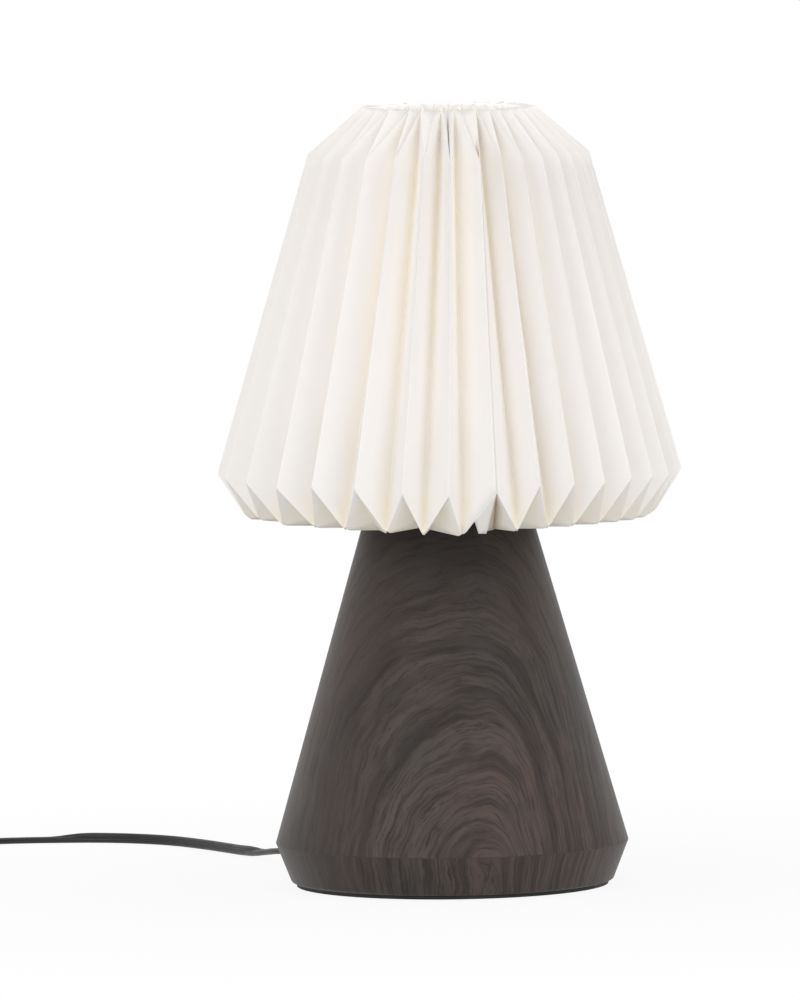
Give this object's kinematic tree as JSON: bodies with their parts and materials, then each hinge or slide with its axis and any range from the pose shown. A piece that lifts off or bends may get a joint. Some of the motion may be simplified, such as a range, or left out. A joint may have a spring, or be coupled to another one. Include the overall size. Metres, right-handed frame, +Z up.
{
  "type": "table lamp",
  "caption": "Table lamp with a turned dark wood cone base, a pleated paper shade on a wire carrier, a screw-cap lampholder with bulb, and a flat lead with inline switch and plug.",
  "frame": {"origin": "middle of the underside of the pad", "axes": "+Z up along the lamp's axis, -Y to the front, +X to the viewer's right"},
  "size_m": [0.458, 0.3597, 0.402],
  "materials": {
    "base_wood": "matte",
    "pad_black": "matte",
    "zinc_steel": "satin",
    "lead_black": "satin",
    "holder_black": "satin",
    "insert_white": "satin",
    "fitting_black": "satin",
    "sleeve_black": "gloss",
    "contact_brass": "satin",
    "carrier_white": "satin",
    "shade_paper": "matte",
    "bulb_opal": "satin",
    "bulb_nickel": "satin",
    "bulb_black_glass": "gloss"
  },
  "bodies": {
    "lamp": {"base_body": "base_wood", "base_pad": "pad_black", "stem_tube": "zinc_steel", "tube_nut": "zinc_steel", "tube_washer": "zinc_steel", "seat_washer": "zinc_steel", "lock_nut": "zinc_steel", "inner_cord": "lead_black", "stop_lower": "fitting_black", "stop_upper": "fitting_black", "stop_screws": "zinc_steel", "cord_bush": "fitting_black", "holder_cap": "holder_black", "holder_body": "holder_black", "holder_insert": "insert_white", "centre_contact": "contact_brass", "side_contact": "contact_brass", "terminal_screws": "contact_brass", "shade_ring": "holder_black", "cord_lead": "lead_black", "switch_base": "fitting_black", "switch_cover": "fitting_black", "switch_pivot": "zinc_steel", "switch_screws": "zinc_steel", "switch_terminals": "contact_brass", "cord_run": "lead_black", "cord_coil": "lead_black", "coil_tie": "fitting_black", "cord_tail": "lead_black", "plug_relief": "fitting_black", "plug_body": "fitting_black", "plug_pins": "bulb_nickel", "plug_sleeves": "sleeve_black"},
    "carrier": {"carrier_hub": "carrier_white", "carrier_arms": "carrier_white", "carrier_ring": "carrier_white"},
    "shade": {"pleated_shade": "shade_paper"},
    "bulb": {"bulb_globe": "bulb_opal", "bulb_cap": "bulb_nickel", "bulb_insulator": "bulb_black_glass", "bulb_tip": "contact_brass"},
    "rocker": {"switch_rocker": "fitting_black"}
  },
  "joints": [
    {"name": "shade_turn", "type": "hinge", "parent": "lamp", "child": "carrier", "pos_m": [0, 0, 0.2359], "axis": [0, 0, 1], "continuous": true},
    {"name": "shade_lift", "type": "slide", "parent": "carrier", "child": "shade", "axis": [0, 0, 1], "range_m": [0, 0.22]},
    {"name": "bulb_lift", "type": "slide", "parent": "lamp", "child": "bulb", "axis": [0, 0, 1], "range_m": [0, 0.17]},
    {"name": "switch_rock", "type": "hinge", "parent": "lamp", "child": "rocker", "pos_m": [-0.264, 0.154, 0.0121], "axis": [1, 0, 0], "range_deg": [-18, 0]}
  ]
}
